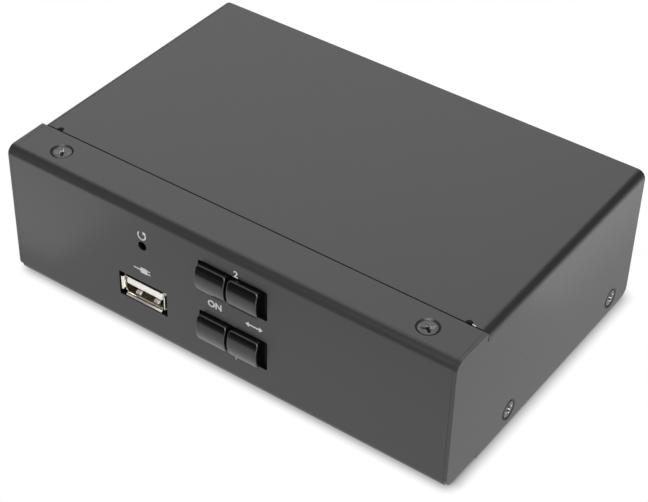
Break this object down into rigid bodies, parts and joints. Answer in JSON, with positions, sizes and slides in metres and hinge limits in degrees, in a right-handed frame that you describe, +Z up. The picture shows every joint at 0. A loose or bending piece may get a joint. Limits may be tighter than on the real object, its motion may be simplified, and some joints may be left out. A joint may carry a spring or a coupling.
{
  "type": "kvm switch",
  "caption": "Desktop switch box that shares one keyboard, screen and mouse between computers: folded steel case with push buttons, front USB socket and rear sockets.",
  "frame": {"origin": "middle of the whole footprint, on the table under the feet", "axes": "+X to the right seen from the front, +Y from the front panel to the rear panel, +Z up"},
  "size_m": [0.13, 0.0886, 0.0394],
  "materials": {
    "case_paint": "satin dark grey powder coat",
    "dark_screw": "black nickel plate",
    "button_plastic": "black, half gloss",
    "black_plastic": "moulded black",
    "white_plastic": "moulded white",
    "nickel": "nickel plated sheet",
    "contact_metal": "gold flash",
    "brass": "turned",
    "circuit_board": "solder mask",
    "capacitor_can": "printed sleeve",
    "rubber": "soft black"
  },
  "bodies": {
    "case": {"chassis": "case_paint", "cover": "case_paint", "lip_screws": "dark_screw", "side_screws": "dark_screw", "feet": "rubber", "main_board": "circuit_board", "button_board": "circuit_board", "standoffs": "brass", "board_screws": "nickel", "front_usb_shell": "nickel", "video_out_shell": "nickel", "video_in1_shell": "nickel", "video_in2_shell": "nickel", "usb_in1_shell": "nickel", "usb_in2_shell": "nickel", "usb_pair_shell": "nickel", "power_pin": "nickel", "crystals": "nickel", "dome_upper_left": "nickel", "dome_upper_right": "nickel", "dome_lower_left": "nickel", "dome_lower_right": "nickel", "dome_reset": "nickel", "pin_strip": "black_plastic", "video_out_insulator": "black_plastic", "video_in1_insulator": "black_plastic", "video_in2_insulator": "black_plastic", "power_inlet": "black_plastic", "video_chip": "black_plastic", "hub_chip": "black_plastic", "controller_chip": "black_plastic", "inductor": "black_plastic", "switch_upper_left": "black_plastic", "switch_upper_right": "black_plastic", "switch_lower_left": "black_plastic", "switch_lower_right": "black_plastic", "switch_reset": "black_plastic", "front_usb_insulator": "white_plastic", "usb_in1_insulator": "white_plastic", "usb_in2_insulator": "white_plastic", "usb_pair_insulator": "white_plastic", "indicator_lamps": "white_plastic", "board_pins": "contact_metal", "front_usb_contacts": "contact_metal", "usb_pair_contacts": "contact_metal", "capacitors": "capacitor_can"},
    "button_upper_left": {"cap_upper_left": "button_plastic", "plunger_upper_left": "white_plastic"},
    "button_upper_right": {"cap_upper_right": "button_plastic", "plunger_upper_right": "white_plastic"},
    "button_lower_left": {"cap_lower_left": "button_plastic", "plunger_lower_left": "white_plastic"},
    "button_lower_right": {"cap_lower_right": "button_plastic", "plunger_lower_right": "white_plastic"},
    "reset_plunger": {"plunger_reset": "white_plastic"}
  },
  "joints": [
    {"name": "press_upper_left", "type": "slide", "parent": "case", "child": "button_upper_left", "axis": [0, 1, 0], "range_m": [0, 0.0004], "stiffness_N_per_m": 4000, "deforming": ["dome_upper_left"]},
    {"name": "press_upper_right", "type": "slide", "parent": "case", "child": "button_upper_right", "axis": [0, 1, 0], "range_m": [0, 0.0004], "stiffness_N_per_m": 4000, "deforming": ["dome_upper_right"]},
    {"name": "press_lower_left", "type": "slide", "parent": "case", "child": "button_lower_left", "axis": [0, 1, 0], "range_m": [0, 0.0004], "stiffness_N_per_m": 4000, "deforming": ["dome_lower_left"]},
    {"name": "press_lower_right", "type": "slide", "parent": "case", "child": "button_lower_right", "axis": [0, 1, 0], "range_m": [0, 0.0004], "stiffness_N_per_m": 4000, "deforming": ["dome_lower_right"]},
    {"name": "press_reset", "type": "slide", "parent": "case", "child": "reset_plunger", "axis": [0, 1, 0], "range_m": [0, 0.0004], "stiffness_N_per_m": 4000, "deforming": ["dome_reset"]}
  ]
}
